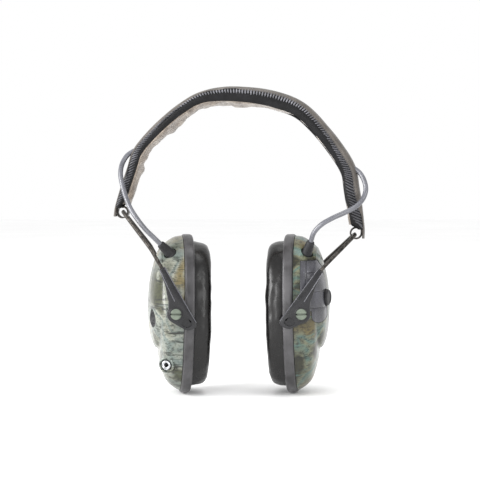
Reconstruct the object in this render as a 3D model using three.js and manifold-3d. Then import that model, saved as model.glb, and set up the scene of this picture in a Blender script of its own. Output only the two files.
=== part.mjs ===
// Electronic earmuff hearing protector: two padded cups on folding wire yokes under a padded headband.
// Millimetres, +Z up. X runs from the left cup to the right cup, and -Y is the wearer's front.
// Each side is drawn with x pointing away from the head, and the left side is mirrored.

import * as THREE from 'three';
import { mergeVertices } from 'three/addons/utils/BufferGeometryUtils.js';
import Module from 'manifold-3d';

const wasm = await Module();
wasm.setup();

// ---------- Driving dimensions ----------

const GAP = 0.3; // clearance between pieces that rest on each other

// Cup, in its own frame: x outward, y to the back, z up, with the posts at z = 0
const OVAL_EXPONENT = 2.3;
const OVAL_POINTS = 24;
const CUP_CENTRE_Z = -3;
const RIM_HALF_HEIGHT = 57;
const RIM_HALF_WIDTH = 42;
const RIM_OUTER_X = -6.8;
const RIM_INNER_X = -14.1;
const CUSHION_HALF_HEIGHT = 52.5;
const CUSHION_HALF_WIDTH = 38;
const CUSHION_FACE_X = -26.6;
const EAR_HALF_HEIGHT = 33;
const EAR_HALF_WIDTH = 18.5;
const WALL = 2.2;

// Shell outline at each distance outward from the rim: [distance, lowest z, highest z, half width]
const SHELL_LEVELS = [
  [0, -58.5, 53, 40], [5, -55.5, 52, 39.5], [10, -50.5, 49, 38.5], [13.5, -41, 46, 36.5],
  [15, -34, 44.5, 35], [15.5, -29, 44, 34.5], [18, -27, 38, 31], [20.5, -21.5, 28, 26],
  [22, -14, 20, 19], [23.2, 0, 5, 6],
];

// Yoke wire and the two arms that slide on it
const WIRE_RADIUS = 1.3;
const CHANNEL_RADIUS = 1.65;
const LEG_Y = 45.2;
const CHANNEL_P = -7.2; // channel's distance from the post, across the arm
const ARM_INNER_Y = 42.8;
const ARM_THICKNESS = 4.7;
const ARM_TOP = 32.4;
const LEG_BOTTOM = -9; // lower end of the wire in a fully closed arm
const KINK = 34; // bend of the wire, just above a fully closed arm
const BAR_HALF_LENGTH = 14;
const POST_RADIUS = 3.1;
const POST_BORE_RADIUS = 3.4;

// Headband, in its own upright frame halfway between the two loops
const BAND_CENTRE = new THREE.Vector3(0.3, 0, 122.35);
const BAND_TILT = THREE.MathUtils.degToRad(5.05);
const BAND_YAW = THREE.MathUtils.degToRad(-2.5);
const BAND_OUTLINE = [
  [0, 97], [20, 95.5], [36.5, 90.5], [50, 81], [66, 65], [80, 46], [83.8, 31.5], [88, 13.6],
  [90.1, 2.6], [90.5, -3.4],
];
const SPRING_HALF_THICKNESS = 0.5;
const SPRING_WIDTH = 10;
const LOOP_X = 84.2;
const LOOP_RADIUS = 3.9;
const LEAD_RADIUS = 1.75;
const LEAD_Y = -8;
const LEAD_ENTRY = 0.705; // where the leads enter the band, as a share of the way from crown to end

// Sides: post position, lean of the arms from vertical, how far the wire is drawn out,
// where the wire lies in the loop, and the route of the lead from its strain relief to the band
const YOKE_TOE_IN = THREE.MathUtils.degToRad(-4);
const CUP_TOE_IN = THREE.MathUtils.degToRad(-2.5); // turn of the cup against its posts
const CUP_OFFSET = 2.3; // cup frame's origin outward from the posts
const CUP_TILT = THREE.MathUtils.degToRad(-1.2);
const HINGE_Y = -2.65;
const SIDES = [
  {
    name: 'left', sign: -1, post: [46.5, 60.2], hinge: [83.7, 129.8], armLean: 29.5, drawnOut: 13,
    wireInLoop: [-0.9, 0.3],
    lead: [
      [-55.2, -27.4, 108.2], [-59.3, -29.6, 112.4], [-65.2, -29.6, 118.2], [-71.1, -27, 125.4],
      [-76.4, -23, 133.3], [-80.1, -19, 141.9], [-82.7, -15.5, 150.4], [-84, -12, 157.6],
      [-83, -8.2, 164.6], [-79.5, -5.6, 170.6], [-75.2, -4.6, 173.6],
    ],
  },
  {
    name: 'right', sign: 1, post: [46.5, 60.2], hinge: [84.3, 114.9], armLean: 36.5, drawnOut: 0,
    wireInLoop: [-1, -1.1],
    lead: [
      [50.7, -27.4, 110], [52.6, -30.4, 116], [57.6, -32.4, 121.6], [65.5, -31.6, 126.2],
      [74.5, -28.4, 130.1], [82.3, -24.6, 134.2], [87.6, -21, 139.6], [89.8, -18.6, 146],
      [88.7, -16, 152.8], [85.6, -13.4, 158.2], [81.6, -12, 161.4],
    ],
  },
];

// ---------- Materials ----------

function material(color, roughness, metalness = 0) {
  return new THREE.MeshStandardMaterial({ color, roughness, metalness });
}

const MATERIALS = {
  camouflage: () => material(0x8f9a86, 0.32),
  blackPlastic: () => material(0x2e2e30, 0.45),
  blackVinyl: () => material(0x262627, 0.5),
  greyVinyl: () => material(0x5b5752, 0.5),
  lining: () => material(0x8c8378, 0.85),
  foam: () => material(0x3a3a3c, 0.95),
  steel: () => material(0x55524e, 0.35, 0.9),
  chrome: () => material(0xc9cccf, 0.15, 1),
  cable: () => material(0x8a8a90, 0.45),
  rubber: () => material(0x1f1f20, 0.7),
  circuit: () => material(0x2f6b3a, 0.5),
  cell: () => material(0x3f5f7a, 0.4),
};

// ---------- Geometry helpers ----------

function signedVolume(geometry) {
  const [a, b, c] = [new THREE.Vector3(), new THREE.Vector3(), new THREE.Vector3()];
  let volume = 0;
  for (let i = 0; i < geometry.index.count; i += 3) {
    a.fromBufferAttribute(geometry.attributes.position, geometry.index.getX(i));
    b.fromBufferAttribute(geometry.attributes.position, geometry.index.getX(i + 1));
    c.fromBufferAttribute(geometry.attributes.position, geometry.index.getX(i + 2));
    volume += a.dot(b.cross(c));
  }
  return volume;
}

function facingOut(geometry) {
  if (signedVolume(geometry) < 0) {
    geometry.setIndex([...geometry.index.array].reverse());
  }
  return geometry;
}

function welded(geometry) {
  const bare = geometry.clone();
  bare.deleteAttribute('normal');
  bare.deleteAttribute('uv');
  return facingOut(mergeVertices(bare, 1e-4));
}

function toSolid(geometry) {
  const merged = welded(geometry);
  return new wasm.Manifold(new wasm.Mesh({
    numProp: 3,
    vertProperties: new Float32Array(merged.attributes.position.array),
    triVerts: new Uint32Array(merged.index.array),
  }));
}

// The largest body of a solid: cuts between curved walls can leave slivers behind
function toGeometry(solid) {
  const bodies = solid.decompose().sort((a, b) => b.volume() - a.volume());
  const mesh = bodies[0].getMesh();
  const geometry = new THREE.BufferGeometry();
  geometry.setAttribute('position', new THREE.Float32BufferAttribute(mesh.vertProperties, 3));
  geometry.setIndex([...mesh.triVerts]);
  return geometry;
}

function cut(geometry, ...tools) {
  return toGeometry(tools.reduce((solid, tool) => solid.subtract(toSolid(tool)), toSolid(geometry)));
}

function join(geometry, ...others) {
  return toGeometry(others.reduce((solid, other) => solid.add(toSolid(other)), toSolid(geometry)));
}

function overlap(geometry, other) {
  return toGeometry(toSolid(geometry).intersect(toSolid(other)));
}

function cap(ring) {
  const normal = new THREE.Vector3();
  ring.forEach((point, i) => normal.add(point.clone().cross(ring[(i + 1) % ring.length])));
  const across = ring[1].clone().sub(ring[0]);
  across.addScaledVector(normal.normalize(), -across.dot(normal)).normalize();
  const up = normal.clone().cross(across);
  const flat = ring.map((point) => new THREE.Vector2(point.dot(across), point.dot(up)));
  return THREE.ShapeUtils.triangulateShape(flat, []);
}

// A closed body through rings with equal numbers of points; ringed bodies join the last to the first
function loft(rings, isRinged = false) {
  const count = rings[0].length;
  const last = rings.length - 1;
  const index = [];
  for (let r = 0; r < rings.length - (isRinged ? 0 : 1); r++) {
    const here = r * count;
    const next = ((r + 1) % rings.length) * count;
    for (let i = 0; i < count; i++) {
      const j = (i + 1) % count;
      index.push(here + i, here + j, next + j, here + i, next + j, next + i);
    }
  }
  if (!isRinged) {
    cap(rings[0]).forEach(([a, b, c]) => index.push(c, b, a));
    cap(rings[last]).forEach((face) => index.push(...face.map((i) => last * count + i)));
  }
  const geometry = new THREE.BufferGeometry();
  geometry.setAttribute('position', new THREE.Float32BufferAttribute(
    rings.flat().flatMap((point) => [point.x, point.y, point.z]), 3));
  geometry.setIndex(index);
  return facingOut(geometry);
}

function ovalRing(x, centreZ, halfHeight, halfWidth) {
  return Array.from({ length: OVAL_POINTS }, (_, i) => {
    const angle = (2 * Math.PI * i) / OVAL_POINTS;
    const [c, s] = [Math.cos(angle), Math.sin(angle)];
    return new THREE.Vector3(
      x,
      halfWidth * Math.sign(c) * Math.abs(c) ** (2 / OVAL_EXPONENT),
      centreZ + halfHeight * Math.sign(s) * Math.abs(s) ** (2 / OVAL_EXPONENT),
    );
  });
}

// An oval frame whose section is a closed list of [inset from the oval, x]
function ovalFrame(halfHeight, halfWidth, section) {
  return loft(section.map(([inset, x]) => (
    ovalRing(x, CUP_CENTRE_Z, halfHeight - inset, halfWidth - inset))), true);
}

function ovalPlate(halfHeight, halfWidth, fromX, toX) {
  return loft([fromX, toX].map((x) => ovalRing(x, CUP_CENTRE_Z, halfHeight, halfWidth)));
}

// A turned piece from [radius, distance] pairs, with its axis along a direction from a point
function turned(profile, point, direction, segments = 16) {
  const lathe = new THREE.LatheGeometry(profile.map(([r, t]) => new THREE.Vector2(r, t)), segments);
  const turn = new THREE.Quaternion().setFromUnitVectors(
    new THREE.Vector3(0, 1, 0), direction.clone().normalize());
  return welded(lathe).applyQuaternion(turn).translate(point.x, point.y, point.z);
}

function rod(radius, from, to, point, direction, segments = 16) {
  return turned([[0, from], [radius, from], [radius, to], [0, to]], point, direction, segments);
}

function box(sizeX, sizeY, sizeZ, x, y, z) {
  return welded(new THREE.BoxGeometry(sizeX, sizeY, sizeZ)).translate(x, y, z);
}

// A round bar or cable along a smooth curve
function tube(points, radius, steps, sides = 8) {
  const section = new THREE.Shape();
  section.absarc(0, 0, radius, 0, 2 * Math.PI, false);
  const route = new THREE.CatmullRomCurve3(points, false, 'centripetal');
  return welded(new THREE.ExtrudeGeometry(section, {
    steps, extrudePath: route, curveSegments: sides / 2, bevelEnabled: false,
  }));
}

// A flat outline drawn as across = x and along = z, made thick in y
function thickOutline(outline, fromY, toY, curveSegments = 6) {
  const geometry = new THREE.ExtrudeGeometry(outline, {
    depth: toY - fromY, bevelEnabled: false, curveSegments,
  });
  return welded(geometry.rotateX(Math.PI / 2).translate(0, toY, 0));
}

function valueAt(table, share) {
  const next = Math.max(1, table.findIndex(([at]) => at >= share));
  const [[fromAt, from], [toAt, to]] = [table[next - 1], table[next]];
  return THREE.MathUtils.mapLinear(THREE.MathUtils.clamp(share, fromAt, toAt), fromAt, toAt, from, to);
}

const FORWARD = new THREE.Vector3(0, -1, 0);
const OUTWARD = new THREE.Vector3(1, 0, 0);
const UPWARD = new THREE.Vector3(0, 0, 1);

function addMesh(group, name, geometry, kind) {
  const mesh = new THREE.Mesh(geometry, MATERIALS[kind]());
  mesh.name = name;
  group.add(mesh);
  return mesh;
}

// ---------- Headband ----------

const bandCurve = new THREE.CatmullRomCurve3([
  ...BAND_OUTLINE.slice(1).reverse().map(([x, z]) => new THREE.Vector3(-x, 0, z)),
  ...BAND_OUTLINE.map(([x, z]) => new THREE.Vector3(x, 0, z)),
], false, 'centripetal');

// Point of the band at a share from -1, the left end, to 1, at a depth under its outer face
function bandPoint(share, depth, y) {
  const at = (share + 1) / 2;
  const along = bandCurve.getTangentAt(at);
  const outward = new THREE.Vector3(-along.z, 0, along.x);
  return bandCurve.getPointAt(at).addScaledVector(outward, -depth).setY(y);
}

const BAND_THICKNESS = [[0, 13.4], [0.15, 12.8], [0.3, 11], [0.5, 10.6], [0.78, 10.8], [1, 11]];
const BAND_HALF_WIDTH = [[0, 17], [0.42, 17], [0.7, 12.5], [0.9, 10.5], [0.96, 9], [1, 5]];
const COVER_DEPTH = [
  [0, 8.9], [0.15, 8.6], [0.3, 7.6], [0.5, 7.3], [0.78, 7], [0.93, 6.9], [0.945, 1.7], [1, 1.6],
];
const COVER_FACE = [[0, 2], [0.72, 2], [0.85, 0.9], [1, 0.9]];
const SPRING_DEPTH = [[0, 3], [0.72, 3], [0.85, 1.9], [1, 1.9]];
const LINING_END = 0.925;
const FOAM_END = 0.6;
const FOAM_TOP = 6.2;

function bandSweep(end, steps, section) {
  const shares = Array.from({ length: steps + 1 }, (_, i) => end * (2 * i / steps - 1));
  return loft(shares.map((share) => section(Math.abs(share)).map(([y, depth]) => (
    bandPoint(share, depth, y)))));
}

function bothHalves(half) {
  return [...half, ...half.filter(([y]) => y !== 0).reverse().map(([y, depth]) => [-y, depth])];
}

function coverSection(share) {
  const [w, d] = [valueAt(BAND_HALF_WIDTH, share), valueAt(COVER_DEPTH, share)];
  const face = valueAt(COVER_FACE, share);
  const outside = [[0, 0], [0.6 * w, 0.5], [w - 1.2, Math.min(1.9, 0.4 * d)], [w, Math.min(4, 0.7 * d)],
    [w, d]];
  const inside = [[w - 1.5, d], [w - 1.5, Math.min(face + 1.5, d - 0.1)], [w - 3, face]];
  return bothHalves([...outside, ...inside]);
}

function liningSection(share) {
  const [w, d] = [valueAt(BAND_HALF_WIDTH, share), valueAt(COVER_DEPTH, share) + GAP];
  const thickness = valueAt(BAND_THICKNESS, share);
  return bothHalves([[0, thickness], [0.6 * w, thickness - 0.3], [w - 1.3, thickness - 1.4],
    [w - 0.2, d + 1.2], [w - 0.8, d]]);
}

function foamSection(share) {
  const [w, d] = [valueAt(BAND_HALF_WIDTH, share) - 1.5 - GAP, valueAt(COVER_DEPTH, share) - GAP];
  return bothHalves([[w, FOAM_TOP], [w, d]]);
}

function springBand() {
  const shares = Array.from({ length: 45 }, (_, i) => -0.93 + (1.86 * i) / 44);
  const strip = shares.map((share) => bandPoint(share, valueAt(SPRING_DEPTH, Math.abs(share)), 0));
  const curl = Array.from({ length: 15 }, (_, i) => {
    const angle = THREE.MathUtils.degToRad(-22 * i);
    return new THREE.Vector3(LOOP_X + LOOP_RADIUS * Math.cos(angle), 0, LOOP_RADIUS * Math.sin(angle));
  });
  const mirroredCurl = curl.map((point) => new THREE.Vector3(-point.x, 0, point.z)).reverse();
  const line = [...mirroredCurl, ...strip, ...curl];
  const offset = (side) => line.map((point, i) => {
    const along = line[Math.min(i + 1, line.length - 1)].clone().sub(line[Math.max(i - 1, 0)]);
    along.normalize();
    return new THREE.Vector2(
      point.x - along.z * side * SPRING_HALF_THICKNESS,
      point.z + along.x * side * SPRING_HALF_THICKNESS,
    );
  });
  const outline = new THREE.Shape([...offset(1), ...offset(-1).reverse()]);
  return thickOutline(outline, -SPRING_WIDTH / 2, SPRING_WIDTH / 2);
}

function headband() {
  const group = new THREE.Group();
  group.position.copy(BAND_CENTRE);
  group.rotation.set(0, BAND_TILT, BAND_YAW, 'ZYX');
  group.updateMatrixWorld(true);
  const holes = SIDES.map(({ lead }) => {
    const [before, end] = lead.slice(-2).map((p) => group.worldToLocal(new THREE.Vector3(...p)));
    return rod(LEAD_RADIUS + 0.8, -6, 4, end, end.clone().sub(before), 12);
  });
  const [leftEnd, rightEnd] = SIDES.map(({ lead }) => {
    const [before, end] = lead.slice(-2).map((p) => group.worldToLocal(new THREE.Vector3(...p)));
    const inward = end.clone().sub(before).normalize();
    return [GAP, 2.5].map((distance) => end.clone().addScaledVector(inward, distance));
  });
  const inner = Array.from({ length: 13 }, (_, i) => (
    bandPoint(-LEAD_ENTRY + 0.06 + (2 * (LEAD_ENTRY - 0.06) * i) / 12, 4.1, LEAD_Y)));
  addMesh(group, 'headband_cover', cut(bandSweep(1, 36, coverSection), ...holes), 'greyVinyl');
  addMesh(group, 'headband_lining', bandSweep(LINING_END, 26, liningSection), 'lining');
  addMesh(group, 'headband_foam', bandSweep(FOAM_END, 18, foamSection), 'foam');
  addMesh(group, 'spring_band', springBand(), 'steel');
  const leadLine = [...leftEnd, ...inner, ...rightEnd.reverse()];
  addMesh(group, 'headband_lead', tube(leadLine, LEAD_RADIUS, 32, 6), 'cable');
  return group;
}

// ---------- Yoke wire and arms ----------

// Points of the front half of the wire in the side's frame, whose origin is the loop's axis
function wireHalf(side, postFromHinge) {
  const lean = THREE.MathUtils.degToRad(side.armLean);
  const along = new THREE.Vector3(Math.sin(lean), 0, Math.cos(lean));
  const across = new THREE.Vector3(Math.cos(lean), 0, -Math.sin(lean));
  const onLeg = (distance) => postFromHinge.clone().addScaledVector(along, distance + side.drawnOut)
    .addScaledVector(across, CHANNEL_P).setY(-LEG_Y);
  const bar = new THREE.Vector3(side.wireInLoop[0], 0, side.wireInLoop[1]);
  const kink = onLeg(KINK);
  const corner = bar.clone().setY(-BAR_HALF_LENGTH - 3);
  const down = kink.clone().sub(corner).normalize();
  return [
    onLeg(LEG_BOTTOM), onLeg(5), onLeg(20), onLeg(KINK - 4), onLeg(KINK - 1),
    kink.clone().lerp(corner, 0.08), kink.clone().lerp(corner, 0.5),
    corner.clone().addScaledVector(down, 6), corner.clone().addScaledVector(down, 1.6).setY(corner.y + 0.4),
    bar.clone().setY(-BAR_HALF_LENGTH + 1.5), bar.clone().setY(-BAR_HALF_LENGTH / 2),
  ];
}

function yokeWire(side, postFromHinge) {
  const front = wireHalf(side, postFromHinge);
  const back = front.map((point) => point.clone().setY(-point.y)).reverse();
  return tube([...front, ...back], WIRE_RADIUS, 60, 6);
}

// Arm outline from the post: x across, away from the head, and y along the channel, up
function armOutline() {
  const outline = new THREE.Shape();
  outline.moveTo(-9.6, ARM_TOP);
  outline.lineTo(-9.6, -11.6);
  outline.quadraticCurveTo(-9.6, -14.3, -7.2, -14.7);
  outline.quadraticCurveTo(-3.4, -15.2, -0.4, -13);
  outline.lineTo(5.4, -3);
  outline.absarc(0, 0, 6.2, THREE.MathUtils.degToRad(-29), THREE.MathUtils.degToRad(63), false);
  outline.lineTo(0.3, 10);
  outline.lineTo(-3.4, 21.3);
  outline.lineTo(-5, ARM_TOP);
  return outline;
}

// An arm on the front (towards = -1) or the back (towards = 1) of the cup
function arm(towards) {
  const outerY = ARM_INNER_Y + ARM_THICKNESS;
  const edges = [towards * ARM_INNER_Y, towards * outerY].sort((a, b) => a - b);
  const origin = new THREE.Vector3(0, 0, 0);
  const channelFoot = new THREE.Vector3(CHANNEL_P, towards * LEG_Y, 0);
  const pocket = new THREE.Vector3(-3.5, towards * outerY, -9.5);
  return cut(
    thickOutline(armOutline(), ...edges),
    rod(CHANNEL_RADIUS, LEG_BOTTOM - 1.2, ARM_TOP + 1, channelFoot, UPWARD, 12),
    rod(POST_BORE_RADIUS, -60, 60, origin, FORWARD, 16),
    rod(1.6, -1.4, 1, pocket, new THREE.Vector3(0, towards, 0), 12),
  );
}

// ---------- Cup ----------

function shellSolid(inset = 0, startX = RIM_OUTER_X + GAP) {
  const rings = SHELL_LEVELS.map(([distance, low, high, halfWidth]) => {
    const lateral = Math.min(inset, halfWidth - 2);
    return ovalRing(
      RIM_OUTER_X + GAP + distance - (distance > 0 ? inset * 0.9 : 0),
      (low + high) / 2,
      Math.max((high - low) / 2 - lateral, 1.5),
      halfWidth - lateral,
    );
  });
  rings[0].forEach((point) => { point.x = startX; });
  return loft(rings);
}

const BOSSES = [[-20, 33], [20, 33], [-12, -44], [12, -44]]; // screw bosses, [y, z]
const POST_FOOT_Y = 35;
const POST_HEAD_Y = 48.6;

const fromPostAxis = new THREE.Matrix4().makeRotationZ(CUP_TOE_IN).setPosition(CUP_OFFSET, 0, 0).invert();

function post(towards) {
  const origin = new THREE.Vector3(0, 0, 0);
  const direction = new THREE.Vector3(0, towards, 0);
  const profile = [[0, POST_FOOT_Y], [4.2, POST_FOOT_Y], [4.2, ARM_INNER_Y - 0.4],
    [POST_RADIUS, ARM_INNER_Y - 0.4], [POST_RADIUS, 47.8], [3.8, 47.8], [3.5, POST_HEAD_Y],
    [0, POST_HEAD_Y]];
  const slot = box(9, 4, 0.9, 0, towards * (POST_HEAD_Y - 0.5), 0);
  const slotted = cut(turned(profile, origin, direction, 14), slot).applyMatrix4(fromPostAxis);
  return cut(slotted, box(20, 2 * (RIM_HALF_WIDTH + GAP), 20, RIM_OUTER_X + GAP - 10, 0, 0));
}

function hollowShell() {
  const outside = shellSolid();
  const bosses = BOSSES.map(([y, z]) => (
    overlap(rod(3, 2.2, 24, new THREE.Vector3(RIM_OUTER_X, y, z), OUTWARD, 6), outside)));
  const screwHoles = BOSSES.map(([y, z]) => (
    rod(1.5, 0, 9.6, new THREE.Vector3(RIM_OUTER_X, y, z), OUTWARD, 6)));
  const hollow = cut(outside, shellSolid(WALL, RIM_OUTER_X - 1));
  return cut(join(hollow, ...bosses, post(-1), post(1)), ...screwHoles);
}

const MICROPHONE = {
  left: {
    at: new THREE.Vector3(14, -21.6, -5), facing: new THREE.Vector3(0.93, -0.37, 0), radius: 6.2,
  },
  right: {
    at: new THREE.Vector3(3.2, -38.2, 15), facing: new THREE.Vector3(0.13, -0.99, 0.06), radius: 3.2,
  },
};

function addMicrophone(group, side, shell) {
  const { at, facing, radius } = MICROPHONE[side.name];
  const hole = rod(radius + GAP, -7, 6, at, facing, 16);
  addMesh(group, `${side.name}_microphone_cover`, rod(radius, -2, -0.7, at, facing, 16), 'blackPlastic');
  addMesh(group, `${side.name}_microphone`, rod(3, -5, -2.3, at, facing, 12), 'chrome');
  return cut(shell, hole);
}

function addInnerPieces(group, side) {
  const { name } = side;
  const centre = new THREE.Vector3(0, 0, CUP_CENTRE_Z);
  const screwHoles = BOSSES.map(([y, z]) => (
    rod(1.5, -9, 0, new THREE.Vector3(0, y, z), OUTWARD, 8)));
  const baffle = cut(ovalPlate(50, 33.5, -6.7, -5.2), rod(14, -9, 0, centre, OUTWARD, 16), ...screwHoles);
  addMesh(group, `${name}_speaker_baffle`, baffle, 'blackPlastic');
  const driver = [[0, -6.5], [13.6, -6.5], [13.6, -4.9], [16, -4.9], [16, -3.9], [9, -3.9], [9, -0.9],
    [0, -0.9]];
  addMesh(group, `${name}_speaker_driver`, turned(driver, centre, OUTWARD, 16), 'steel');
  addMesh(group, `${name}_liner_foam`, ovalPlate(44, 29, -12.2, -8.7), 'foam');
  addMesh(group, `${name}_circuit_board`, box(1.6, 30, 26, -0.2, 0, 30), 'circuit');
  BOSSES.forEach(([y, z], i) => {
    const screw = [[0, -8.4], [2.7, -8.4], [2.7, -7], [1.15, -7], [1.15, 1.6], [0, 2.2]];
    addMesh(group, `${name}_shell_screw_${i + 1}`,
      turned(screw, new THREE.Vector3(0, y, z), OUTWARD, 8), 'steel');
  });
}

function addCushion(group, side) {
  const { name } = side;
  const rimSection = [[0.9, RIM_OUTER_X], [0, RIM_OUTER_X - 1], [0, RIM_INNER_X + 1.3],
    [1.3, RIM_INNER_X], [12, RIM_INNER_X], [12, RIM_INNER_X + 2], [4, RIM_INNER_X + 2],
    [4, RIM_OUTER_X]];
  addMesh(group, `${name}_rim`, ovalFrame(RIM_HALF_HEIGHT, RIM_HALF_WIDTH, rimSection), 'blackPlastic');
  const plateSection = [[0, RIM_INNER_X], [10.5, RIM_INNER_X], [10.5, RIM_INNER_X + 1.6],
    [0, RIM_INNER_X + 1.6]];
  addMesh(group, `${name}_cushion_plate`, ovalFrame(RIM_HALF_HEIGHT - 12 - GAP,
    RIM_HALF_WIDTH - 12 - GAP, plateSection), 'blackPlastic');
  const [back, face] = [RIM_INNER_X - GAP, CUSHION_FACE_X];
  const inset = CUSHION_HALF_HEIGHT - EAR_HALF_HEIGHT;
  const cushionSection = [[1.6, back], [inset - 2, back], [inset, back - 2.4], [inset, face + 3],
    [inset - 1.6, face + 0.8], [inset - 4.5, face], [6, face], [2.6, face + 1.2], [0.5, face + 4],
    [0, face + 7.5], [0.5, back - 1.6]];
  addMesh(group, `${name}_cushion`,
    ovalFrame(CUSHION_HALF_HEIGHT, CUSHION_HALF_WIDTH, cushionSection), 'blackVinyl');
}

// Rubber boot in a round hole of the shell, in line with the start of the lead
function addStrainRelief(group, side, shell) {
  const [exit, next] = side.lead.slice(0, 2).map((p) => {
    const point = group.worldToLocal(new THREE.Vector3(...p));
    return point.setX(side.sign * point.x);
  });
  const direction = next.sub(exit);
  const boot = [[0, -13], [4.2, -13], [4.2, -11], [3.6, -11], [3.2, -6], [2.6, -GAP], [0, -GAP]];
  addMesh(group, `${side.name}_strain_relief`, turned(boot, exit, direction, 14), 'rubber');
  return cut(shell, rod(4.6, -14, 4, exit, direction, 12));
}

// ---------- Left cup: input jack ----------

const JACK_BOSS_RADIUS = 5.8;

function addJack(group, shell) {
  const at = new THREE.Vector3(4, -29.5, -37);
  const facing = new THREE.Vector3(0.5, -0.86, -0.1);
  const boss = overlap(rod(JACK_BOSS_RADIUS, -6, 1.8, at, facing, 14), box(60, 60, 60, 20, -30, -37));
  const bushing = [[1.75, -5], [3.5, -5], [3.5, 2], [1.75, 2], [1.75, -5]];
  addMesh(group, 'jack_bushing', turned(bushing, at, facing, 14), 'chrome');
  const body = [[0, -10], [4.2, -10], [4.2, -5.4], [0, -5.4]];
  addMesh(group, 'jack_body', turned(body, at, facing, 10), 'blackPlastic');
  return cut(join(shell, boss), rod(3.8, -6.5, 4, at, facing, 14), rod(4.6, -11, -5.2, at, facing, 10));
}

// ---------- Right cup: side panel, volume control, battery compartment ----------

const DOOR_X = 11.8; // plane between the shell and the battery door
const DOOR_FRONT_Y = -11;

const PANEL_SINK = new THREE.Vector3(-0.7, 1, 0); // from the face of the panel to the back of it
const KNOB_AT = new THREE.Vector3(15.4, -18.9, 9.5);
const KNOB_FACING = new THREE.Vector3(0.96, -0.28, 0).normalize();
const KNOB_RECESS_RADIUS = 6;

function addSidePanel(group, shell) {
  const outline = (grow) => {
    const shape = new THREE.Shape();
    shape.moveTo(-1.4 - grow, 36 + grow);
    shape.lineTo(-1.4 - grow, 10);
    shape.lineTo(6.2 - grow, 1);
    shape.absarc(10.9, -2.6, 4.7 + grow, Math.PI, 2 * Math.PI, false);
    shape.lineTo(15.6 + grow, 18);
    shape.lineTo(12.5 + grow, 31);
    shape.lineTo(9.7 + grow, 36 + grow);
    return thickOutline(shape, -60, -14.5 + grow);
  };
  const behind = (extra) => shellSolid().translate(...PANEL_SINK.clone().multiplyScalar(1 + extra));
  const panel = cut(overlap(shellSolid(), outline(0)), behind(0),
    rod(KNOB_RECESS_RADIUS + GAP, -4, 8, KNOB_AT, KNOB_FACING, 20),
    rod(MICROPHONE.right.radius + GAP, -7, 6, MICROPHONE.right.at, MICROPHONE.right.facing, 14));
  addMesh(group, 'side_panel', panel, 'blackPlastic');
  return cut(shell, cut(outline(GAP), behind(GAP)));
}

function addVolumeControl(group, shell) {
  const knobGroup = new THREE.Group();
  knobGroup.name = 'volume_axis';
  knobGroup.position.copy(KNOB_AT);
  knobGroup.quaternion.setFromUnitVectors(UPWARD, KNOB_FACING);
  group.add(knobGroup);
  const origin = new THREE.Vector3(0, 0, 0);
  const knob = [[0, 1.6], [1.9, 1.6], [1.9, -0.6], [5.6, -0.6], [5.6, 1.8], [4.9, 2.4], [0, 2.4]];
  addMesh(knobGroup, 'volume_knob', turned(knob, origin, UPWARD, 20), 'blackPlastic');
  const control = [[0, -8.4], [4.4, -8.4], [4.4, -4.4], [1.5, -4.4], [1.5, 1.2], [0, 1.2]];
  addMesh(group, 'volume_potentiometer', turned(control, KNOB_AT, KNOB_FACING, 10), 'steel');
  return cut(shell, rod(KNOB_RECESS_RADIUS, -1, 8, KNOB_AT, KNOB_FACING, 20),
    rod(1.9, -9, 4, KNOB_AT, KNOB_FACING, 8));
}

function addBatteries(group, shell) {
  const cell = [[0, -19], [5.2, -19], [5.2, 24.3], [1.9, 24.3], [1.9, 25.4], [0, 25.4]];
  [-5.6, 5.6].forEach((y, i) => {
    addMesh(group, `battery_cell_${i + 1}`,
      turned(cell, new THREE.Vector3(6.3, y, 0), UPWARD, 14), 'cell');
  });
  addMesh(group, 'battery_contact_upper', box(7, 18, 0.6, 5.6, 0, 26.1), 'chrome');
  addMesh(group, 'battery_contact_lower', box(7, 18, 0.6, 5.6, 0, -19.7), 'chrome');

  const doorGroup = new THREE.Group();
  doorGroup.name = 'door_axis';
  doorGroup.position.set(DOOR_X - 0.4, 0, -27.6);
  group.add(doorGroup);
  const doorZone = (grow) => box(30, 60, 90, DOOR_X + 15 - grow, DOOR_FRONT_Y + 30 - grow, 5);
  const domed = cut(shellSolid(), shellSolid(WALL, RIM_OUTER_X - 1));
  const door = overlap(domed, doorZone(0));
  door.translate(-doorGroup.position.x, 0, -doorGroup.position.z);
  addMesh(doorGroup, 'battery_door', door, 'camouflage');
  return cut(shell, doorZone(GAP));
}

// ---------- One side: yoke, arms and cup ----------

function mirror(group) {
  group.position.x *= -1;
  const { x, y, z, w } = group.quaternion;
  group.quaternion.set(x, -y, -z, w);
  mirrorContents(group);
}

function mirrorContents(group) {
  group.children.forEach((child) => {
    if (child.isMesh) {
      child.geometry.scale(-1, 1, 1);
      facingOut(child.geometry);
    } else {
      mirror(child);
    }
  });
}

function fillHousing(housing, side) {
  addInnerPieces(housing, side);
  addCushion(housing, side);
  let shell = hollowShell();
  shell = addMicrophone(housing, side, shell);
  shell = addStrainRelief(housing, side, shell);
  if (side.name === 'left') {
    shell = addJack(housing, shell);
  } else {
    shell = addSidePanel(housing, shell);
    shell = addVolumeControl(housing, shell);
    shell = addBatteries(housing, shell);
  }
  addMesh(housing, `${side.name}_shell`, shell, 'camouflage');
}

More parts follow.
